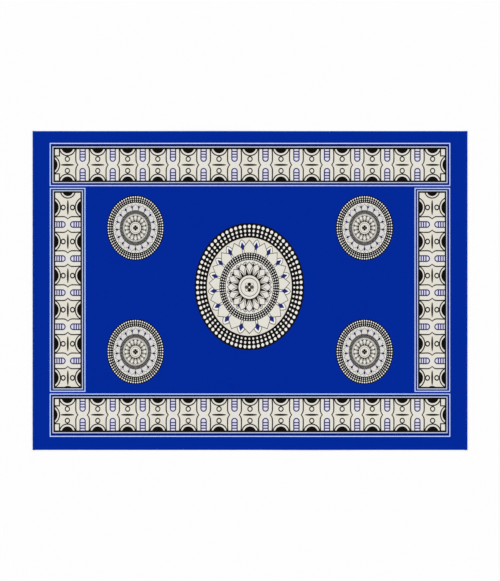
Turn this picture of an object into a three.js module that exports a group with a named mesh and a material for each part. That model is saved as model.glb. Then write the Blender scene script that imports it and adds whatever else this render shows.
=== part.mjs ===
// A khanga: one oblong of printed cotton, laid out flat with its printed face up.
// Millimetres, +Z up. The origin is the centre of the underside, on the surface it lies on.
// X runs along the long sides, which are selvedges. The two short ends are cut and hemmed.

import * as THREE from 'three';

// Driving dimensions
const CLOTH_LENGTH = 1500; // hemmed end to hemmed end, along X
const CLOTH_WIDTH = 1100; // selvedge to selvedge, along Y
const SHEET_THICKNESS = 1.0;
const HEM_WIDTH = 9; // the end turned under twice and stitched down
const HEM_THICKNESS = 2.4;
const HEM_SLOPE = 2; // run over which the cloth comes down from the hem
const HEM_NOSE = 0.7; // depth of the rounded fold at the very end
const NOSE_SHARE = 0.3; // share of the hem's thickness that the fold rounds off, above and below
const STEP_ALONG = 37; // longest step of the grid along X
const STEP_ACROSS = 37; // longest step of the grid along Y
const PRINT_BLUE = 0x0126a0; // the ground colour of the print

// Soft low rises where the cloth stands clear of the surface: the middle of each, the way it runs
// in degrees from X, its whole length and width, and its height at the middle.
const RISES = [
  { x: -505, y: 310, heading: 64, length: 500, width: 170, height: 1.6 },
  { x: -190, y: -330, heading: 14, length: 640, width: 190, height: 1.4 },
  { x: 330, y: 275, heading: -27, length: 600, width: 180, height: 1.7 },
  { x: 585, y: -200, heading: 76, length: 620, width: 170, height: 1.5 },
  { x: -610, y: -215, heading: -52, length: 430, width: 160, height: 1.3 },
  { x: 240, y: -520, heading: 4, length: 520, width: 170, height: 1.5 },
  { x: -130, y: 525, heading: -3, length: 600, width: 180, height: 1.6 },
];

// Falls smoothly from 1 in the middle of a span to 0 at its two ends.
function softCrest(offset, span) {
  const share = Math.min(Math.abs(offset) / (span / 2), 1);
  return Math.cos((share * Math.PI) / 2) ** 2;
}

// Height of the underside above the surface.
function underside(x, y) {
  let lift = 0;
  for (const rise of RISES) {
    const heading = THREE.MathUtils.degToRad(rise.heading);
    const dx = x - rise.x;
    const dy = y - rise.y;
    const along = dx * Math.cos(heading) + dy * Math.sin(heading);
    const across = dy * Math.cos(heading) - dx * Math.sin(heading);
    lift += rise.height * softCrest(along, rise.length) * softCrest(across, rise.width);
  }
  return lift;
}

// Thickness of the cloth at a distance in from a hemmed end.
function thickness(fromEnd) {
  const down = THREE.MathUtils.clamp((fromEnd - HEM_WIDTH) / HEM_SLOPE, 0, 1);
  return THREE.MathUtils.lerp(HEM_THICKNESS, SHEET_THICKNESS, down);
}

// Even stations from low to high, none further apart than the step.
function stations(low, high, step) {
  const count = Math.ceil((high - low) / step);
  return Array.from({ length: count + 1 }, (_, i) => low + ((high - low) * i) / count);
}

// Stations along X: the fold of each hem, its flat and its slope, with the open cloth between.
function stationsAlong() {
  const end = CLOTH_LENGTH / 2;
  const fieldEnd = end - HEM_WIDTH - HEM_SLOPE;
  const hem = [end, end - HEM_NOSE, end - HEM_WIDTH];
  return [...hem.map((x) => -x), ...stations(-fieldEnd, fieldEnd, STEP_ALONG), ...hem.reverse()];
}

function sheetGeometry() {
  const xs = stationsAlong();
  const ys = stations(-CLOTH_WIDTH / 2, CLOTH_WIDTH / 2, STEP_ACROSS);
  const columns = xs.length;
  const rows = ys.length;
  const positions = [];
  const indices = [];

  // One grid of points for the underside, then one for the printed face.
  for (const printed of [false, true]) {
    for (const y of ys) {
      for (const x of xs) {
        const fromEnd = CLOTH_LENGTH / 2 - Math.abs(x);
        const full = thickness(fromEnd);
        const rounded = fromEnd < HEM_NOSE / 2 ? full * NOSE_SHARE : 0;
        positions.push(x, y, underside(x, y) + (printed ? full - rounded : rounded));
      }
    }
  }
  const point = (row, column, printed) => (printed ? rows * columns : 0) + row * columns + column;
  const quad = (a, b, c, d) => indices.push(a, b, c, a, c, d);

  // The two faces
  for (let row = 0; row < rows - 1; row += 1) {
    for (let column = 0; column < columns - 1; column += 1) {
      const corners = [
        [row, column],
        [row, column + 1],
        [row + 1, column + 1],
        [row + 1, column],
      ];
      quad(...corners.map(([r, c]) => point(r, c, true)));
      quad(...corners.reverse().map(([r, c]) => point(r, c, false)));
    }
  }

  // The edge all round, walked anticlockwise as seen from above
  const rim = [];
  for (let column = 0; column < columns - 1; column += 1) rim.push([0, column]);
  for (let row = 0; row < rows - 1; row += 1) rim.push([row, columns - 1]);
  for (let column = columns - 1; column > 0; column -= 1) rim.push([rows - 1, column]);
  for (let row = rows - 1; row > 0; row -= 1) rim.push([row, 0]);
  rim.forEach(([row, column], i) => {
    const [nextRow, nextColumn] = rim[(i + 1) % rim.length];
    quad(
      point(row, column, false),
      point(nextRow, nextColumn, false),
      point(nextRow, nextColumn, true),
      point(row, column, true),
    );
  });

  const geometry = new THREE.BufferGeometry();
  geometry.setAttribute('position', new THREE.Float32BufferAttribute(positions, 3));
  geometry.setIndex(indices);
  geometry.computeVertexNormals();
  return geometry;
}

function makeCloth() {
  const cotton = new THREE.MeshStandardMaterial({
    color: PRINT_BLUE,
    roughness: 0.9,
    metalness: 0,
  });
  const cloth = new THREE.Mesh(sheetGeometry(), cotton);
  cloth.name = 'cloth';
  return cloth;
}

const khanga = new THREE.Group();
khanga.add(makeCloth());

export default khanga;
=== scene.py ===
"""A khanga laid out flat on a pale floor, its printed face up, seen from straight above.

Objects are in metres. The print is drawn by shader nodes in millimetres, from the middle of the
cloth, X to the right and Y up, by the same coordinates as the cloth's own.
"""

import math
from dataclasses import dataclass

import bpy
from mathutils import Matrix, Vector, noise


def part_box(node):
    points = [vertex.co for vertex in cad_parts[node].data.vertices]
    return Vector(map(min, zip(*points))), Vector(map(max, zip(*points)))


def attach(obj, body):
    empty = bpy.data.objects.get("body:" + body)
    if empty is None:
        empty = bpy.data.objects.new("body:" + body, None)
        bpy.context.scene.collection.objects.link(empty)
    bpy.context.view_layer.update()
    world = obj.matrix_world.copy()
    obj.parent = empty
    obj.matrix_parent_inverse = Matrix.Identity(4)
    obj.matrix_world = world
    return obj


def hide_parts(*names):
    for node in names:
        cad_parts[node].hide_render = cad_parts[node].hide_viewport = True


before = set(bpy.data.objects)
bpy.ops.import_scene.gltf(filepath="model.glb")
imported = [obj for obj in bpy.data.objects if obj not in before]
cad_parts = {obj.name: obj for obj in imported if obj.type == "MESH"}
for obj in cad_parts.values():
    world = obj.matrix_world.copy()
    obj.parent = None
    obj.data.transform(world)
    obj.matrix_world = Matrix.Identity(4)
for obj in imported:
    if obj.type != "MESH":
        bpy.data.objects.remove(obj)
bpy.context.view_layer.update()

CAD_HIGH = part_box("cloth")[1]
MM = 0.001

# The cloth, in millimetres, as the solid has it
HALF_LENGTH = CAD_HIGH.x / MM
HALF_WIDTH = CAD_HIGH.y / MM
SHEET_THICKNESS = 1.0
HEM_WIDTH = 9.0
HEM_THICKNESS = 2.4
HEM_SLOPE = 2.0  # the length over which the hem thins to the sheet
RIM_SHARE = 0.12  # share of the thickness left at the very edge

# Soft low rises: the middle, the way it runs in degrees from X, whole length and width, height
RISES = [
    dict(x=-505, y=310, heading=64, length=500, width=170, height=1.6),
    dict(x=-190, y=-330, heading=14, length=640, width=190, height=1.4),
    dict(x=330, y=275, heading=-27, length=600, width=180, height=1.7),
    dict(x=585, y=-200, heading=76, length=620, width=170, height=1.5),
    dict(x=-610, y=-215, heading=-52, length=430, width=160, height=1.3),
    dict(x=240, y=-520, heading=4, length=520, width=170, height=1.5),
    dict(x=-130, y=525, heading=-3, length=600, width=180, height=1.6),
]
RIPPLE_HEIGHT = 0.12  # small unevenness all over
RIPPLE_SPAN = 70.0
RIPPLE_LAYER = 0.0
PUCKER_HEIGHT = 0.22  # where the stitching draws the hem in
PUCKER_SPAN = 21.0
PUCKER_REACH = 26.0
PUCKER_LAYER = 7.0

# The hem's row of stitches
STITCH_INSET = 7.2
STITCH_PITCH = 3.0
STITCH_LENGTH = 2.6
STITCH_DIVE = 2.2  # how far its ends lie below its crown, in radii of the thread
STITCH_TAPER = 0.35  # share of the radius lost at its ends
STITCH_RINGS = 5
STITCH_SIDES = 6
THREAD_RADIUS = 0.24
SEAM_DIP = 0.35  # depth of the groove that the stitches lie in
SEAM_DIP_REACH = 1.4

# The sheet's grid: stations in from a hemmed end and from a selvedge, and the steps between
FOLD_INSETS = [0.0, 0.12, 0.35, 0.75, 1.3, 3.0, 5.0, 6.4, STITCH_INSET, 8.0, HEM_WIDTH, 10.0, 11.0, 16.0]
SELVEDGE_INSETS = [0.0, 0.15, 0.5, 2.5]
STEP_ALONG = 11.0
STEP_ACROSS = 5.0

# The two materials of the sheet, in the order in which it takes them
PRINTED_FACE = 0
WRONG_SIDE = 1

# The map for the exported picture
UNDERSIDE_BELOW = -0.2  # a face is on the underside where its normal has less Z than this
BAKE_MARGIN = 0.004  # share of the map left free at its sides


def smooth(share):
    """Eases from 0 to 1 as share goes from 0 to 1."""
    share = min(max(share, 0.0), 1.0)
    return share * share * (3 - 2 * share)


def soft_crest(offset, width):
    """Falls smoothly from 1 in the middle of a width to 0 at its two ends."""
    share = min(abs(offset) / (width / 2), 1.0)
    return math.cos(share * math.pi / 2) ** 2


def soft_noise(x, y, layer):
    """Smooth unevenness between 0 and 1. Each layer has its own."""
    return 0.5 + 0.5 * noise.noise(Vector((x, y, layer)))


def rises(x, y):
    """Height of the soft rises above the floor."""
    lift = 0.0
    for rise in RISES:
        heading = math.radians(rise["heading"])
        dx = x - rise["x"]
        dy = y - rise["y"]
        along = dx * math.cos(heading) + dy * math.sin(heading)
        across = dy * math.cos(heading) - dx * math.sin(heading)
        lift += rise["height"] * soft_crest(along, rise["length"]) * soft_crest(across, rise["width"])
    return lift


def ripple(x, y):
    """Small unevenness of cloth that has been folded and shaken out, never below the floor."""
    return RIPPLE_HEIGHT * soft_noise(x / RIPPLE_SPAN, y / RIPPLE_SPAN, RIPPLE_LAYER)


def pucker(from_end, y):
    """Small waves along the hem, drawn up by its stitching and dying out into the cloth."""
    share = 1 - smooth((from_end - HEM_WIDTH) / PUCKER_REACH)
    return PUCKER_HEIGHT * share * soft_noise(0.0, y / PUCKER_SPAN, PUCKER_LAYER)


def hem_thickness(from_end):
    """Thickness of the cloth at a distance in from a hemmed end, its stitched groove included."""
    slope = smooth((from_end - HEM_WIDTH) / HEM_SLOPE)
    thick = HEM_THICKNESS + (SHEET_THICKNESS - HEM_THICKNESS) * slope
    return thick - SEAM_DIP * soft_crest(from_end - STITCH_INSET, 2 * SEAM_DIP_REACH)


def rounded_edge(inset, radius):
    """Share of the full thickness that an edge rounded over by that radius has at an inset."""
    gone = 1 - min(inset / radius, 1.0)
    return math.sqrt(max(1 - gone * gone, 0.0))


def cloth_heights(x, y):
    """Height of the underside and of the printed face at a point, in millimetres."""
    from_end = HALF_LENGTH - abs(x)
    from_selvedge = HALF_WIDTH - abs(y)
    thick = hem_thickness(from_end)
    fold = rounded_edge(from_end, thick / 2)
    selvedge = rounded_edge(from_selvedge, SHEET_THICKNESS / 2)
    full = RIM_SHARE + (1 - RIM_SHARE) * min(fold, selvedge)
    lift = rises(x, y) + ripple(x, y) + pucker(from_end, y)
    return lift + thick * (1 - full) / 2, lift + thick * (1 + full) / 2


def stations(low, high, step):
    """Even stations from low to high, none further apart than the step."""
    count = math.ceil((high - low) / step)
    return [low + (high - low) * i / count for i in range(count + 1)]


def mirrored_stations(half, insets, step):
    """Stations from -half to half: the insets given in from both ends, and even ones between."""
    inner = half - insets[-1]
    ends = [half - inset for inset in insets[:-1]]
    return [-x for x in ends] + stations(-inner, inner, step) + ends[::-1]


def placed(name, data):
    """An object in the scene, with that mesh, lamp or camera."""
    thing = bpy.data.objects.new(name, data)
    bpy.context.scene.collection.objects.link(thing)
    return thing


def smooth_piece(name, points, faces):
    """A mesh in the scene, smoothly shaded."""
    mesh = bpy.data.meshes.new(name)
    mesh.from_pydata(points, [], faces)
    mesh.polygons.foreach_set("use_smooth", [True] * len(faces))
    return placed(name, mesh)


def make_cloth():
    """The whole cloth as one closed sheet, with the hems' fold, groove and slope in its form."""
    xs = mirrored_stations(HALF_LENGTH, FOLD_INSETS, STEP_ALONG)
    ys = mirrored_stations(HALF_WIDTH, SELVEDGE_INSETS, STEP_ACROSS)
    columns = len(xs)
    rows = len(ys)
    below = []
    above = []
    for y in ys:
        for x in xs:
            low, high = cloth_heights(x, y)
            below.append((x * MM, y * MM, low * MM))
            above.append((x * MM, y * MM, high * MM))

    def point(row, column, face):
        return (face == PRINTED_FACE) * rows * columns + row * columns + column

    faces = []
    kinds = []
    for row in range(rows - 1):
        for column in range(columns - 1):
            corners = [(row, column), (row, column + 1), (row + 1, column + 1), (row + 1, column)]
            faces.append([point(r, c, PRINTED_FACE) for r, c in corners])
            kinds.append(PRINTED_FACE)
            faces.append([point(r, c, WRONG_SIDE) for r, c in reversed(corners)])
            # The hem is turned under, so the printed face shows there from below too
            middle = abs(xs[column] + xs[column + 1]) / 2
            in_hem = middle > HALF_LENGTH - HEM_WIDTH
            kinds.append(PRINTED_FACE if in_hem else WRONG_SIDE)
    rim = [(0, column) for column in range(columns - 1)]
    rim += [(row, columns - 1) for row in range(rows - 1)]
    rim += [(rows - 1, column) for column in range(columns - 1, 0, -1)]
    rim += [(row, 0) for row in range(rows - 1, 0, -1)]
    for here, there in zip(rim, rim[1:] + rim[:1]):
        faces.append([point(*here, WRONG_SIDE), point(*there, WRONG_SIDE),
                      point(*there, PRINTED_FACE), point(*here, PRINTED_FACE)])
        kinds.append(PRINTED_FACE)

    cloth = smooth_piece("khanga_cloth", below + above, faces)
    cloth.data.polygons.foreach_set("material_index", kinds)
    add_bake_map(cloth.data)
    return cloth


def add_bake_map(mesh):
    """A map for the exported picture: the printed face takes most of it, the underside a strip."""
    layer = mesh.uv_layers.new(name="OFBake")
    length = 2 * HALF_LENGTH * MM
    width = 2 * HALF_WIDTH * MM
    print_scale = (1 - 2 * BAKE_MARGIN) / length
    print_top = BAKE_MARGIN + width * print_scale
    under_scale = (1 - print_top - 2 * BAKE_MARGIN) / width
    for face in mesh.polygons:
        up = face.normal.z > UNDERSIDE_BELOW
        scale = print_scale if up else under_scale
        base = BAKE_MARGIN if up else print_top + BAKE_MARGIN
        for corner in face.loop_indices:
            place = mesh.vertices[mesh.loops[corner].vertex_index].co
            u = BAKE_MARGIN + (place.x + length / 2) * scale
            v = base + (place.y + width / 2) * scale
            layer.uv[corner].vector = (u, v)


def stitch_points(x, middle):
    """Rings of points along one stitch: an arched length of thread that thins at its ends."""
    base = cloth_heights(x, middle)[1]
    points = []
    for ring in range(STITCH_RINGS):
        share = ring / (STITCH_RINGS - 1) * 2 - 1
        y = middle + share * STITCH_LENGTH / 2
        height = base + THREAD_RADIUS * (1 - STITCH_DIVE * share * share)
        radius = THREAD_RADIUS * (1 - STITCH_TAPER * share * share)
        for side in range(STITCH_SIDES):
            angle = math.tau * side / STITCH_SIDES
            across = radius * math.cos(angle)
            up = radius * math.sin(angle)
            points.append(((x + across) * MM, y * MM, (height + up) * MM))
    return points


def stitch_faces(first):
    """One stitch's sides and ends. first is the number of its first point."""
    last = first + (STITCH_RINGS - 1) * STITCH_SIDES
    faces = []
    for here in range(first, last, STITCH_SIDES):
        there = here + STITCH_SIDES
        for side in range(STITCH_SIDES):
            after = (side + 1) % STITCH_SIDES
            faces.append([here + side, there + side, there + after, here + after])
    faces.append([first + (side - 1) % STITCH_SIDES for side in range(STITCH_SIDES)])
    faces.append([last + -side % STITCH_SIDES for side in range(STITCH_SIDES)])
    return faces


def make_stitches():
    """The row of stitches that shows along each hem, every one modelled."""
    points = []
    faces = []
    count = int(2 * HALF_WIDTH / STITCH_PITCH) - 1
    for end in (-1, 1):
        for i in range(count):
            middle = (i - (count - 1) / 2) * STITCH_PITCH
            faces += stitch_faces(len(points))
            points += stitch_points(end * (HALF_LENGTH - STITCH_INSET), middle)
    return smooth_piece("hem_stitches", points, faces)


# Where a Mix node has its two colours and its result
MIX_FIRST = 6
MIX_SECOND = 7
MIX_RESULT = 2


class Amount:
    """A number that varies over the surface: one output in a node tree, its sums done by Math nodes."""

    def __init__(self, tree, socket):
        self.tree = tree
        self.socket = socket

    def by(self, operation, *others, clamp=False):
        """What a Math node makes of this amount and the others."""
        node = self.tree.nodes.new("ShaderNodeMath")
        node.operation = operation
        node.use_clamp = clamp
        for entry, value in zip(node.inputs, (self, *others)):
            feed(self.tree, value, entry)
        return Amount(self.tree, node.outputs[0])

    def __add__(self, other):
        return self.by("ADD", other)

    def __sub__(self, other):
        return self.by("SUBTRACT", other)

    def __rsub__(self, other):
        return self.by("MULTIPLY_ADD", -1.0, other)

    def __mul__(self, other):
        return self.by("MULTIPLY", other)

    def __abs__(self):
        return self.by("ABSOLUTE")


def feed(tree, value, entry):
    """Gives an input its value: a constant, an amount or another node's output."""
    if isinstance(value, Amount):
        value = value.socket
    if isinstance(value, bpy.types.NodeSocket):
        tree.links.new(value, entry)
    else:
        entry.default_value = value


def mixed(tree, share, first, second):
    """One colour gone over into another by a share."""
    node = tree.nodes.new("ShaderNodeMix")
    node.data_type = "RGBA"
    feed(tree, share, node.inputs["Factor"])
    feed(tree, first, node.inputs[MIX_FIRST])
    feed(tree, second, node.inputs[MIX_SECOND])
    return node.outputs[MIX_RESULT]


def overlap(a, b):
    """Distance to what two shapes have in common."""
    return a.by("MAXIMUM", b)


def joined(a, b):
    """Distance to two shapes taken together."""
    return a.by("MINIMUM", b)


def span(x, y):
    """Length of the line from the origin to (x, y)."""
    return y.by("MULTIPLY_ADD", y, x * x).by("SQRT")


def folded(amount, period):
    """How far amount is from the nearest whole number of periods."""
    return amount.by("PINGPONG", period / 2)


def stroke(distance, width):
    """A line of that width along the edge of a shape."""
    return abs(distance) - width / 2


def disc(x, y, radius):
    return span(x, y) - radius


def oval(x, y, half_x, half_y):
    return disc(x * (half_y / half_x), y, half_y)


def box(x, y, half_x, half_y):
    return overlap(abs(x) - half_x, abs(y) - half_y)


def leaf(along, across, half_length, half_width):
    """Two arcs that meet in a point at each end. across is never negative."""
    radius = (half_length**2 + half_width**2) / (2 * half_width)
    return span(along, across + (radius - half_width)) - radius


def slant(along, across, tip, shoulder, half_width):
    """The straight side that runs from a tip out to a shoulder."""
    slope = half_width / (tip - shoulder)
    side = across - (tip - along) * slope
    return side * (1 / math.hypot(1, slope))


def kite(along, across, tip, shoulder, foot, half_width, rounding):
    """A petal with a straight-sided tip, a rounded shoulder and a tapering foot."""
    over = slant(along, across, tip, shoulder, half_width)
    under = slant(along, across, foot, shoulder, half_width)
    return over.by("SMOOTH_MAX", under, rounding)


def light_of(level):
    """The share of light that a screen gives for a level from 0 to 255."""
    share = level / 255
    return ((share + 0.055) / 1.055) ** 2.4 if share > 0.04 else share / 12.92


def linear(red, green, blue):
    """A colour given as screen levels, as the shader wants it."""
    return light_of(red), light_of(green), light_of(blue), 1.0


# The inks. Like the print's sizes, most were measured in the photograph, fitted to it and rounded.
BLUE = linear(0, 40, 153)
NAVY = linear(2, 22, 112)
PALE_LINE = linear(190, 212, 255)
GREY_LINE = linear(193, 201, 224)
BLACK = linear(18, 16, 12)
OUTLINE = linear(30, 27, 20)
FAINT_LINE = linear(160, 156, 146)
CREAM = linear(227, 223, 211)
LIGHT = linear(229, 226, 217)
WHITE = linear(241, 239, 235)
INDIGO = linear(48, 44, 100)
CAPSULE_WHITE = linear(221, 221, 241)
PALE_FROM = 0.45  # an ink is a pale one where its strongest colour is above this
BLEED = 0.4  # millimetres over which one ink runs into the next
INK_SPREAD = 0.5  # millimetres by which dark ink creeps over the pale beside it

# The border. Its four bands are even about this height, a little above the cloth's middle.
BORDER_MIDDLE = 2.25
LINE_WIDTH = 4.3
OUTLINE_WIDTH = 3.1
CAPSULE_LINE = 3.0
BRACE_SHARPNESS = 2.2  # the power by which a brace draws in to its point
PAST_SIDE_BANDS = 4.0  # how far past the side bands' ends the long bands' own print begins


@dataclass
class Rectangle:
    """How far out its middle is from the border's, and its half sizes across and along its band."""

    middle: float
    half_across: float
    half_along: float


@dataclass
class Band:
    """One pair of bands: the rectangles of its outer and its inner line, and of its white ground."""

    outer: Rectangle
    inner: Rectangle
    ground: Rectangle


@dataclass
class Cell:
    """The motif that repeats along a band, measured across from its middle line and along from a disc."""

    pitch: float
    first_disc: float
    last_disc: float
    disc_middle: float
    disc_radius: float
    arc_middle: float
    arc_radius: float
    ring_middle: float
    ring_half_along: float
    ring_half_across: float
    spindle_half_length: float
    spindle_half_width: float
    brace: float
    brace_bow: float
    brace_waist: float
    brace_tip: float
    brace_reach: float
    capsule_radius: float
    capsule_start: float
    first_rung: float
    rung_pitch: float


LONG_BAND = Band(
    outer=Rectangle(middle=432.4, half_across=72.8, half_along=689.3),
    inner=Rectangle(middle=431.4, half_across=61.5, half_along=679.8),
    ground=Rectangle(middle=431.1, half_across=54.3, half_along=672.9),
)
SIDE_BAND = Band(
    outer=Rectangle(middle=629.1, half_across=59.7, half_along=349.9),
    inner=Rectangle(middle=628.3, half_across=50.3, half_along=341.8),
    ground=Rectangle(middle=628.4, half_across=43.7, half_along=335.0),
)
LONG_CELL = Cell(
    pitch=105.0, first_disc=0.0, last_disc=630.0,
    disc_middle=60.7, disc_radius=20.3, arc_middle=59.3, arc_radius=27.3,
    ring_middle=20.2, ring_half_along=7.3, ring_half_across=8.0,
    spindle_half_length=20.5, spindle_half_width=3.0,
    brace=29.0, brace_bow=1.3, brace_waist=27.5, brace_tip=36.5, brace_reach=17.2,
    capsule_radius=9.0, capsule_start=21.5, first_rung=27.1, rung_pitch=9.6,
)
SIDE_CELL = Cell(
    pitch=117.6, first_disc=58.8, last_disc=294.0,
    disc_middle=58.7, disc_radius=26.8, arc_middle=61.9, arc_radius=36.4,
    ring_middle=16.1, ring_half_along=7.8, ring_half_across=6.9,
    spindle_half_length=22.0, spindle_half_width=2.8,
    brace=31.7, brace_bow=0.6, brace_waist=18.6, brace_tip=39.8, brace_reach=15.8,
    capsule_radius=9.8, capsule_start=19.1, first_rung=21.4, rung_pitch=8.2,
)
SIDE_CELL_MIDDLE = -7.5
LOOSENING = 3.2  # how far the long bands' motifs are drawn out from the middle, most of all halfway
LOOSE_SPAN = 530.0

# The motifs at a band's ends: how far past the edge a disc's middle is, and its radii
LONG_END_DISC = dict(past=18.2, black=26.9, arc=33.9)
LONG_END_BLOCK = dict(deep=15.4, high=23.4)
SIDE_TOP_DISC = dict(past=6.8, black=18.1, arc=25.2)
SIDE_FOOT_DISC = dict(past=17.4, black=20.5)


@dataclass
class Rosette:
    """How the large and the small rosettes differ: their place, form and inks.

    stretch is a ring's height against its width, less slack over its radius. drift is how much
    higher it sits, as a share of its radius. The crowdings are those that crowded takes.
    """

    x: float
    y: float
    scale: float
    stretch: float
    slack: float
    drift: float
    petals: int
    petal_crowding: tuple
    columns: int
    column_crowding: tuple
    lobe: float
    dot: float
    inks: dict


# The rosettes, in millimetres across the large one, which is drawn round and then stretched in Y
LARGE_INKS = dict(
    field=linear(226, 222, 211), petal=linear(228, 225, 215), bud_diamond=linear(34, 42, 112),
    line=linear(78, 75, 70), inner_field=linear(229, 226, 217), inner_diamond=linear(42, 34, 72),
    circle=linear(86, 83, 73), side_lobe=linear(85, 82, 72),
)
SMALL_INKS = dict(
    field=linear(228, 226, 219), petal=linear(218, 216, 213), bud_diamond=linear(32, 30, 100),
    line=linear(138, 134, 126), inner_field=linear(214, 211, 204), inner_diamond=linear(58, 55, 62),
    circle=linear(129, 127, 119), side_lobe=linear(48, 44, 34),
)
LARGE_ROSETTE = Rosette(
    x=-2.2, y=11.1, scale=1.0, stretch=1.179, slack=3.2, drift=0.013,
    petals=16, petal_crowding=(0.0885, -0.0348), columns=72, column_crowding=(-0.0145, -0.0045),
    lobe=5.5, dot=3.5, inks=LARGE_INKS,
)
SMALL_ROSETTE = Rosette(
    x=395.1, y=213.5, scale=0.523, stretch=1.152, slack=2.5, drift=0.004,
    petals=17, petal_crowding=(0.01, 0.0), columns=72, column_crowding=(0.0, 0.006),
    lobe=6.7, dot=2.4, inks=SMALL_INKS,
)
LEAST_STRETCHED = 20.0  # nearer the middle than this the stretch doesn't change
RIM_RADIUS = 188.5
RIM_ROWS = [dict(radius=179.0, dot=5.4), dict(radius=166.2, dot=4.3), dict(radius=155.0, dot=3.6)]
FIELD_RADIUS = 146.7
PETAL = dict(tip=139.9, shoulder=118.0, foot=0.0, half_width=20.2, rounding=6.5)
BUD = dict(middle=121.8, half_length=21.0, half_width=11.9)
BUD_DIAMOND = dict(middle=123.6, half_length=11.5, half_width=6.3)
CHECKER_OUTER = 102.8
CHECKER_INNER = 82.2
CHECKER_ROWS = 3
CHECKER_SQUARE = 2.2  # half the side of a white square
INNER_PETALS = 16
INNER_PETAL = dict(tip=76.2, shoulder=63.6, foot=38.6, half_width=12.0, rounding=5.5)
INNER_BUD = dict(middle=68.3, half_length=8.8, half_width=6.8)
INNER_DIAMOND = dict(middle=67.4, half_length=5.8, half_width=4.9)
WEDGE = dict(base=34.2, tip=57.4, half_width=6.1)
HOLLOW = dict(middle=44.4, half_length=18.5, half_width=7.0)
HEART_RADIUS = 37.7
HEART_LINE = 29.6
THIN_WIDTH = 1.1
LOBE_OFFSET = 10.0
LOBES_MIDDLE = 6.0  # radius of the dark middle that joins the lobes
CORNER_OFFSET = 9.7
CORNER_RADIUS = 4.7


class Print:
    """Inks laid one over another on the cloth. scale turns the distances given into millimetres."""

    def __init__(self, tree, ground):
        self.tree = tree
        self.colour = ground
        self.scale = 1.0

    def lay(self, ink, distance):
        """Prints the ink inside a shape, over what is already there."""
        creep = -INK_SPREAD if max(ink[:3]) > PALE_FROM else INK_SPREAD
        mask = distance.by("MULTIPLY_ADD", -self.scale / BLEED, 0.5 + creep / BLEED, clamp=True)
        self.cover(ink, mask)

    def cover(self, colour, mask):
        """Puts a colour where the mask is 1, over what is already there."""
        self.colour = mixed(self.tree, mask, self.colour, colour)


def brace_line(across, cell):
    """How far the brace stands from its disc: bowed in at the waist, and out to a point at the middle."""
    from_waist = across.by("MULTIPLY_ADD", 1 / cell.brace_waist, -1.0)
    bow = from_waist.by("MULTIPLY", from_waist).by("MULTIPLY_ADD", cell.brace_bow, cell.brace)
    point = across.by("MULTIPLY_ADD", -1 / cell.brace_reach, 1.0, clamp=True).by("POWER", BRACE_SHARPNESS)
    return point.by("MULTIPLY_ADD", cell.brace_tip - cell.brace - cell.brace_bow, bow)


def draw_cells(sheet, along, across, cell):
    """The repeat of a band: half-discs at its edges, rings, a spindle, braces and capsules."""
    from_disc = folded(along - cell.first_disc, cell.pitch)
    between = from_disc * abs(along).by("LESS_THAN", cell.last_disc)

    brace = between - brace_line(across, cell)
    sheet.lay(CREAM, brace)
    sheet.lay(OUTLINE, stroke(brace, OUTLINE_WIDTH))

    # Half-disc with its arc, and the ring that hangs from the arc
    arc = disc(from_disc, across - cell.arc_middle, cell.arc_radius)
    sheet.lay(LIGHT, arc)
    sheet.lay(OUTLINE, stroke(arc, OUTLINE_WIDTH))
    sheet.lay(BLACK, disc(from_disc, across - cell.disc_middle, cell.disc_radius))
    ring = oval(from_disc, across - cell.ring_middle, cell.ring_half_along, cell.ring_half_across)
    sheet.lay(LIGHT, ring)
    sheet.lay(OUTLINE, stroke(ring, OUTLINE_WIDTH))
    sheet.lay(OUTLINE, oval(from_disc, across, cell.spindle_half_length, cell.spindle_half_width))

    # Capsule with its rungs, standing on the edge midway between two discs
    to_start = (cell.capsule_start - across).by("MAXIMUM", 0.0)
    capsule = disc(cell.pitch / 2 - between, to_start, cell.capsule_radius)
    rungs = folded(across - cell.first_rung, cell.rung_pitch) - CAPSULE_LINE / 2
    rungs = overlap(rungs, cell.first_rung - CAPSULE_LINE - across)
    sheet.lay(CAPSULE_WHITE, capsule)
    sheet.lay(INDIGO, overlap(rungs, capsule))
    sheet.lay(INDIGO, stroke(capsule, CAPSULE_LINE))


def draw_end_disc(sheet, depth, offset, past, black, arc=None):
    """A half-disc on a band's short edge. depth is in from that edge."""
    distance = span(depth + past, offset)
    if arc:
        sheet.lay(LIGHT, distance - arc)
        sheet.lay(OUTLINE, stroke(distance - arc, OUTLINE_WIDTH))
    sheet.lay(BLACK, distance - black)


def draw_long_band(sheet, x, across):
    inside = abs(x).by("LESS_THAN", LOOSE_SPAN)
    loosened = (x * (math.pi / LOOSE_SPAN)).by("SINE") * inside
    draw_cells(sheet, loosened.by("MULTIPLY_ADD", -LOOSENING, x), across, LONG_CELL)
    depth = LONG_BAND.ground.half_along - abs(x)
    draw_end_disc(sheet, depth, across, **LONG_END_DISC)
    in_corner = LONG_BAND.ground.half_across - LONG_END_BLOCK["high"] - across
    block = overlap(depth - LONG_END_BLOCK["deep"], in_corner)
    sheet.lay(LIGHT, block)
    sheet.lay(OUTLINE, stroke(block, OUTLINE_WIDTH))


def draw_side_band(sheet, y, across):
    draw_cells(sheet, y - SIDE_CELL_MIDDLE, across, SIDE_CELL)
    half_along = SIDE_BAND.ground.half_along
    draw_end_disc(sheet, half_along + BORDER_MIDDLE - y, across, **SIDE_TOP_DISC)
    draw_end_disc(sheet, y + (half_along - BORDER_MIDDLE), across, **SIDE_FOOT_DISC)


def rectangles(x, wide, high, over, beside):
    """Distance to a rectangle of the long bands and one of the side bands, taken together."""
    return joined(
        box(x, high - over.middle, over.half_along, over.half_across),
        box(high, wide - beside.middle, beside.half_along, beside.half_across),
    )


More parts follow.
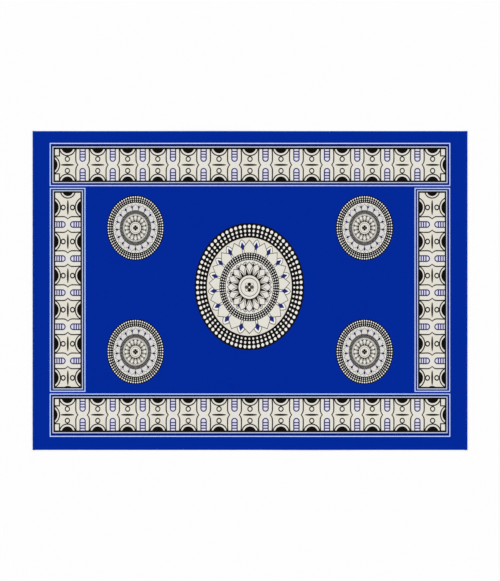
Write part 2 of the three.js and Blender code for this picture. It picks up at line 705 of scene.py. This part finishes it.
def draw_border(tree, x, y):
    """The four bands with the lines round them and the blue ground outside."""
    wide = abs(x)
    high = abs(y - BORDER_MIDDLE)
    long_sheet = Print(tree, LIGHT)
    draw_long_band(long_sheet, x, abs(high - LONG_BAND.ground.middle))
    sheet = Print(tree, LIGHT)
    draw_side_band(sheet, y, abs(wide - SIDE_BAND.ground.middle))
    sheet.cover(long_sheet.colour, high.by("GREATER_THAN", SIDE_BAND.outer.half_along + PAST_SIDE_BANDS))

    ground = rectangles(x, wide, high, LONG_BAND.ground, SIDE_BAND.ground)
    inner = rectangles(x, wide, high, LONG_BAND.inner, SIDE_BAND.inner)
    outer = rectangles(x, wide, high, LONG_BAND.outer, SIDE_BAND.outer)
    sheet.lay(BLACK, 0.0 - ground)
    sheet.lay(NAVY, 0.0 - inner)
    sheet.lay(GREY_LINE, stroke(inner, LINE_WIDTH))
    sheet.lay(BLUE, 0.0 - outer)
    sheet.lay(PALE_LINE, stroke(outer, LINE_WIDTH))
    return sheet


def spokes(radius, turn, count, half_step=False):
    """Coordinates along and across from the nearest of count spokes, or from midway between two."""
    angle = folded(turn, math.tau / count)
    if half_step:
        angle = math.pi / count - angle
    return radius * angle.by("COSINE"), radius * angle.by("SINE")


def draw_outlined(sheet, shape, ink, line):
    sheet.lay(ink, shape)
    sheet.lay(line, stroke(shape, THIN_WIDTH))


def crowded(turn, once, twice):
    """The turn round a rosette, with its motifs drawn together on one side, and on two opposite sides."""
    leant = turn.by("SINE").by("MULTIPLY_ADD", once, turn)
    return (turn * 2.0).by("SINE").by("MULTIPLY_ADD", twice, leant)


def draw_rim(sheet, radius, column):
    """Three rows of white dots on black. column is the distance from the nearest column of dots."""
    sheet.lay(BLACK, radius - RIM_RADIUS)
    for row in RIM_ROWS:
        sheet.lay(WHITE, disc(column, radius - row["radius"], row["dot"]))


def diamond(along, across, middle, half_length, half_width):
    return kite(along, across, middle + half_length, middle, middle - half_length, half_width, 0.0)


def draw_petals(sheet, radius, turn, petals, inks):
    """A ring of pointed petals, with a bud and a blue diamond between each two."""
    sheet.lay(inks["field"], radius - FIELD_RADIUS)
    along, across = spokes(radius, turn, petals, half_step=True)
    bud = leaf(along - BUD["middle"], across, BUD["half_length"], BUD["half_width"])
    draw_outlined(sheet, bud, WHITE, inks["line"])
    blue = diamond(along, across, **BUD_DIAMOND)
    along, across = spokes(radius, turn, petals)
    draw_outlined(sheet, kite(along, across, **PETAL), inks["petal"], inks["line"])
    sheet.lay(inks["bud_diamond"], blue)


def draw_checker(sheet, radius, column):
    """Rows of small white squares on black, in line with the rim's dots."""
    pitch = (CHECKER_OUTER - CHECKER_INNER) / CHECKER_ROWS
    row = folded(radius - (CHECKER_INNER + pitch / 2), pitch)
    within = radius - CHECKER_OUTER
    sheet.lay(BLACK, within)
    sheet.lay(WHITE, overlap(overlap(row, column) - CHECKER_SQUARE, within))


def draw_inner_rosette(sheet, radius, turn, inks):
    """Small petals with diamonds between their tips, and black wedges in hollows between their feet."""
    sheet.lay(inks["inner_field"], radius - CHECKER_INNER)
    along, across = spokes(radius, turn, INNER_PETALS, half_step=True)
    bud = leaf(along - INNER_BUD["middle"], across, INNER_BUD["half_length"], INNER_BUD["half_width"])
    draw_outlined(sheet, bud, LIGHT, inks["line"])
    dark = diamond(along, across, **INNER_DIAMOND)
    wedge = slant(along, across, WEDGE["tip"], WEDGE["base"], WEDGE["half_width"])
    hollow = leaf(along - HOLLOW["middle"], across, HOLLOW["half_length"], HOLLOW["half_width"])
    along, across = spokes(radius, turn, INNER_PETALS)
    draw_outlined(sheet, kite(along, across, **INNER_PETAL), LIGHT, inks["line"])
    sheet.lay(inks["inner_diamond"], dark)
    draw_outlined(sheet, hollow, LIGHT, inks["line"])
    sheet.lay(BLACK, wedge)


def draw_heart(sheet, x, y, radius, lobe, dot, inks):
    """The middle disc with its thin circle and a flower of four lobes round a white dot."""
    sheet.lay(LIGHT, radius - HEART_RADIUS)
    sheet.lay(inks["circle"], stroke(radius - HEART_LINE, THIN_WIDTH))
    x = abs(x)
    y = abs(y)
    corner = disc(x - CORNER_OFFSET, y - CORNER_OFFSET, CORNER_RADIUS)
    sheet.lay(FAINT_LINE, stroke(corner, THIN_WIDTH))
    sheet.lay(inks["side_lobe"], disc(x - LOBE_OFFSET, y, lobe))
    sheet.lay(BLACK, disc(x, y - LOBE_OFFSET, lobe))
    sheet.lay(OUTLINE, radius - LOBES_MIDDLE)
    sheet.lay(WHITE, radius - dot)


def draw_rosette(sheet, x, y, kind):
    """A whole rosette. Its larger rings are stretched more in Y than the small ones and sit higher."""
    x = x * (1 / kind.scale)
    y = y * (1 / kind.scale)
    near = span(x, y * (1 / kind.stretch)).by("MAXIMUM", LEAST_STRETCHED)
    lowered = near.by("MULTIPLY_ADD", -kind.drift, y)
    y = (lowered * near).by("DIVIDE", near.by("MULTIPLY_ADD", kind.stretch, -kind.slack))
    radius = span(x, y)
    turn = x.by("ARCTAN2", y)
    column = folded(crowded(turn, *kind.column_crowding), math.tau / kind.columns) * radius
    sheet.scale = kind.scale
    draw_rim(sheet, radius, column)
    draw_petals(sheet, radius, crowded(turn, *kind.petal_crowding), kind.petals, kind.inks)
    draw_checker(sheet, radius, column)
    draw_inner_rosette(sheet, radius, turn, kind.inks)
    draw_heart(sheet, x, y, radius, kind.lobe, kind.dot, kind.inks)
    sheet.scale = 1.0


def draw_khanga(tree, x, y):
    """The whole print. Returns its colour."""
    sheet = draw_border(tree, x, y)
    draw_rosette(sheet, x - LARGE_ROSETTE.x, y - LARGE_ROSETTE.y, LARGE_ROSETTE)
    small_x = x - x.by("SIGN") * SMALL_ROSETTE.x
    level = y - BORDER_MIDDLE
    small_y = level - level.by("SIGN") * SMALL_ROSETTE.y
    draw_rosette(sheet, small_x, small_y, SMALL_ROSETTE)
    return sheet.colour


def print_group():
    """A node group that gives the print's colour at a place on the cloth, in metres."""
    tree = bpy.data.node_groups.new("khanga_print", "ShaderNodeTree")
    tree.interface.new_socket("Place", in_out="INPUT", socket_type="NodeSocketVector")
    tree.interface.new_socket("Colour", in_out="OUTPUT", socket_type="NodeSocketColor")
    entry = tree.nodes.new("NodeGroupInput")
    parts = tree.nodes.new("ShaderNodeSeparateXYZ")
    tree.links.new(entry.outputs[0], parts.inputs[0])
    x = Amount(tree, parts.outputs["X"]) * (1 / MM)
    y = Amount(tree, parts.outputs["Y"]) * (1 / MM)
    colour = draw_khanga(tree, x, y)
    out = tree.nodes.new("NodeGroupOutput")
    tree.links.new(colour, out.inputs[0])
    return tree


# The cotton, in millimetres
THREAD_PITCH = 0.45  # between neighbouring threads of the plain weave
THREAD_ROUND = 0.09  # how far a thread's crown stands above its sides
THREAD_RISE = 0.05  # how far it rises and falls as it goes over and under
WEAVE_MEAN = 0.091  # the weave's height on average
SLUB_DEPTH = 0.05
WANDER = 0.5  # how far threads and print stray from where they should be

# Its dye: even strength and what the slubs and the cloudy patches add; and painted shade by each
# millimetre of weave, darker between threads and lighter on their crowns
DYE_EVEN = 0.83
DYE_OF_SLUBS = 0.14
DYE_OF_CLOUDS = 0.06
WEAVE_PAINTED_SHADE = 2.5
WRONG_SIDE_PALENESS = 0.28
COTTON = linear(226, 228, 236)

# Its surface
COTTON_ROUGHNESS = 0.76
SLUB_ROUGHNESS = 0.12
COTTON_SHINE = 0.02
COTTON_SHEEN = 0.02
COTTON_SHEEN_ROUGHNESS = 0.5

# How fine the noises are: their changes to a metre, and the levels of detail in them
WANDER_SCALE = 280.0
WANDER_DETAIL = 3.0
SLUB_SCALE_ALONG = 25.0
SLUB_SCALE_ACROSS = 900.0
CLOUD_SCALE = 6.0
CLOUD_DETAIL = 3.0

# The sewing thread
THREAD_DARK = linear(8, 44, 160)
THREAD_PALE = linear(32, 74, 190)
THREAD_SHADE_SCALE = 400.0
THREAD_ROUGHNESS = 0.55
THREAD_ROUGHNESS_CHANGE = 0.2
THREAD_SHINE = 0.3
PLY_SCALE = 700.0
PLY_DEPTH = 0.05
PLY_BUMP = 0.6


def noise_node(tree, place, scale, detail):
    node = tree.nodes.new("ShaderNodeTexNoise")
    node.inputs["Scale"].default_value = scale
    node.inputs["Detail"].default_value = detail
    tree.links.new(place, node.inputs["Vector"])
    return node


def noise_of(tree, place, scale, detail=2.0):
    """Smooth noise over the surface, 0.5 on average."""
    return Amount(tree, noise_node(tree, place, scale, detail).outputs["Fac"])


def stretched(tree, place, scale_x, scale_y):
    """The place at its own scale each way, so that noise drawn on it runs long along a thread."""
    node = tree.nodes.new("ShaderNodeMapping")
    node.inputs["Scale"].default_value = (scale_x, scale_y, 1.0)
    tree.links.new(place, node.inputs["Vector"])
    return node.outputs[0]


def vector_by(tree, operation, *values):
    """What a Vector Math node makes of the values."""
    node = tree.nodes.new("ShaderNodeVectorMath")
    node.operation = operation
    for entry, value in zip(node.inputs, values):
        feed(tree, value, entry)
    return node.outputs[0]


def wandering(tree, place):
    """The place, a fraction of a millimetre off here and there, as no thread lies quite straight."""
    noise_colour = noise_node(tree, place, WANDER_SCALE, WANDER_DETAIL).outputs["Color"]
    stray = vector_by(tree, "SUBTRACT", noise_colour, (0.5, 0.5, 0.5))
    return vector_by(tree, "MULTIPLY_ADD", stray, (2 * WANDER * MM,) * 3, place)


def plain_weave(tree, place):
    """Height of the weave: warp threads along Y and weft along X, each over and under in turn."""
    parts = tree.nodes.new("ShaderNodeSeparateXYZ")
    tree.links.new(place, parts.inputs[0])
    turn = math.pi / (THREAD_PITCH * MM)
    across_warp = (Amount(tree, parts.outputs["X"]) * turn).by("SINE")
    across_weft = (Amount(tree, parts.outputs["Y"]) * turn).by("SINE")
    over = across_warp.by("SIGN") * across_weft
    under = across_weft.by("SIGN") * across_warp
    warp = abs(across_warp) * THREAD_ROUND + over * THREAD_RISE
    weft = abs(across_weft) * THREAD_ROUND - under * THREAD_RISE
    return warp.by("MAXIMUM", weft)


def slubs_of(tree, place):
    """Thicker and thinner lengths of yarn, both ways of the cloth, about 1 on average."""
    weft = noise_of(tree, stretched(tree, place, SLUB_SCALE_ALONG, SLUB_SCALE_ACROSS), 1.0)
    warp = noise_of(tree, stretched(tree, place, SLUB_SCALE_ACROSS, SLUB_SCALE_ALONG), 1.0)
    return weft + warp


def new_material(name, shine):
    """A material, its node tree and its shader."""
    material = bpy.data.materials.new(name)
    material.use_nodes = True
    tree = material.node_tree
    shader = tree.nodes["Principled BSDF"]
    shader.inputs["Specular IOR Level"].default_value = shine
    return material, tree, shader


def add_bump(tree, shader, height, strength, distance):
    """Shades the surface as if raised by the height times the distance."""
    bump = tree.nodes.new("ShaderNodeBump")
    bump.inputs["Strength"].default_value = strength
    bump.inputs["Distance"].default_value = distance
    feed(tree, height, bump.inputs["Height"])
    tree.links.new(bump.outputs[0], shader.inputs["Normal"])


def cotton_material(name, paleness):
    """Printed plain-weave cotton. paleness is how much of the bare cloth shows through the ink."""
    material, tree, shader = new_material(name, COTTON_SHINE)
    shader.inputs["Sheen Weight"].default_value = COTTON_SHEEN
    shader.inputs["Sheen Roughness"].default_value = COTTON_SHEEN_ROUGHNESS
    place = wandering(tree, tree.nodes.new("ShaderNodeTexCoord").outputs["Object"])
    group = tree.nodes.new("ShaderNodeGroup")
    group.node_tree = bpy.data.node_groups["khanga_print"]
    tree.links.new(place, group.inputs[0])
    colour = group.outputs[0]
    if paleness:
        colour = mixed(tree, paleness, colour, COTTON)

    # Threads take the dye a little unevenly and there are faint cloudy patches; painted shade darkens the
    # hollows between threads
    weave = plain_weave(tree, place)
    slubs = slubs_of(tree, place)
    clouds = noise_of(tree, place, CLOUD_SCALE, CLOUD_DETAIL)
    # Painted shade from the weave's height: darker between threads, lighter on their crowns
    shade = (weave - WEAVE_MEAN) * WEAVE_PAINTED_SHADE
    strength = shade + (slubs * DYE_OF_SLUBS + clouds * DYE_OF_CLOUDS + DYE_EVEN)
    dyed_and_shaded = tree.nodes.new("ShaderNodeVectorMath")
    dyed_and_shaded.operation = "SCALE"
    feed(tree, colour, dyed_and_shaded.inputs[0])
    feed(tree, strength, dyed_and_shaded.inputs["Scale"])
    tree.links.new(dyed_and_shaded.outputs[0], shader.inputs["Base Color"])
    feed(tree, slubs * SLUB_ROUGHNESS + COTTON_ROUGHNESS, shader.inputs["Roughness"])
    add_bump(tree, shader, weave + slubs * SLUB_DEPTH, 1.0, MM)
    return material


def thread_material():
    """Blue sewing thread, its two plies twisted round each other."""
    material, tree, shader = new_material("hem_thread", THREAD_SHINE)
    place = tree.nodes.new("ShaderNodeTexCoord").outputs["Object"]
    shade = noise_of(tree, place, THREAD_SHADE_SCALE)
    tree.links.new(mixed(tree, shade, THREAD_DARK, THREAD_PALE), shader.inputs["Base Color"])
    feed(tree, shade * THREAD_ROUGHNESS_CHANGE + THREAD_ROUGHNESS, shader.inputs["Roughness"])
    twist = tree.nodes.new("ShaderNodeTexWave")
    twist.bands_direction = "DIAGONAL"
    twist.inputs["Scale"].default_value = PLY_SCALE
    tree.links.new(place, twist.inputs["Vector"])
    add_bump(tree, shader, twist.outputs["Fac"], PLY_BUMP, PLY_DEPTH * MM)
    return material


# The stage, in metres. The frame is 500 by 581 pixels, and the cloth's 1500 mm take up 434.7 of them.
FRAME_HIGH = 581
PIXELS_OF_CLOTH = 434.7
CAMERA_LENS = 85.0
SENSOR = 36.0
FLOOR_HALF = 15.0
FLOOR_WHITE = (0.97, 0.97, 0.97, 1.0)
FLOOR_ROUGHNESS = 0.9
FLOOR_SHINE = 0.1
SKY_WHITE = (1.0, 1.0, 1.0, 1.0)
SKY_STRENGTH = 0.78  # how bright the sky alone makes a white floor, with 1 as full white
KEY_SHARE = 0.24  # how much the lamp adds
KEY_TILT = 50.0  # degrees from straight above
KEY_HEADING = 35.0
KEY_SPREAD = 35.0  # how wide the lamp looks from the cloth, in degrees


def floor_material():
    material, _, shader = new_material("floor", FLOOR_SHINE)
    shader.inputs["Base Color"].default_value = FLOOR_WHITE
    shader.inputs["Roughness"].default_value = FLOOR_ROUGHNESS
    return material


def make_floor():
    mesh = bpy.data.meshes.new("floor")
    corners = [(-1, -1), (1, -1), (1, 1), (-1, 1)]
    mesh.from_pydata([(x * FLOOR_HALF, y * FLOOR_HALF, 0.0) for x, y in corners], [], [(0, 1, 2, 3)])
    mesh.materials.append(floor_material())
    floor = placed("floor", mesh)


def make_camera():
    """Straight above the cloth, at the height where it fills its share of the frame."""
    seen = 2 * HALF_LENGTH * MM / PIXELS_OF_CLOTH * FRAME_HIGH
    data = bpy.data.cameras.new("camera")
    data.sensor_width = SENSOR
    data.lens = CAMERA_LENS
    camera = placed("camera", data)
    camera.location = (0.0, 0.0, seen * CAMERA_LENS / SENSOR)
    bpy.context.scene.camera = camera


def make_lights():
    """An even white sky, with a broad soft lamp from the upper left."""
    world = bpy.data.worlds.new("sky")
    world.use_nodes = True
    sky = world.node_tree.nodes["Background"]
    sky.inputs["Color"].default_value = SKY_WHITE
    sky.inputs["Strength"].default_value = SKY_STRENGTH
    bpy.context.scene.world = world
    lamp = bpy.data.lights.new("key", "SUN")
    lamp.angle = math.radians(KEY_SPREAD)
    lamp.energy = KEY_SHARE * math.pi / math.cos(math.radians(KEY_TILT))
    key = placed("key", lamp)
    key.rotation_euler = (math.radians(KEY_TILT), 0.0, math.radians(180 + KEY_HEADING))


def declare(cloth, stitches):
    """Which part of the model each piece moves with; the cloth's solid is hidden."""
    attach(cloth, "root")
    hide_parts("cloth")
    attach(stitches, "root")


bpy.context.scene.view_settings.view_transform = "Standard"
make_camera()
make_lights()
make_floor()
print_group()
cloth = make_cloth()
cloth.data.materials.append(cotton_material("printed_face", 0.0))
cloth.data.materials.append(cotton_material("wrong_side", WRONG_SIDE_PALENESS))
stitches = make_stitches()
stitches.data.materials.append(thread_material())
declare(cloth, stitches)
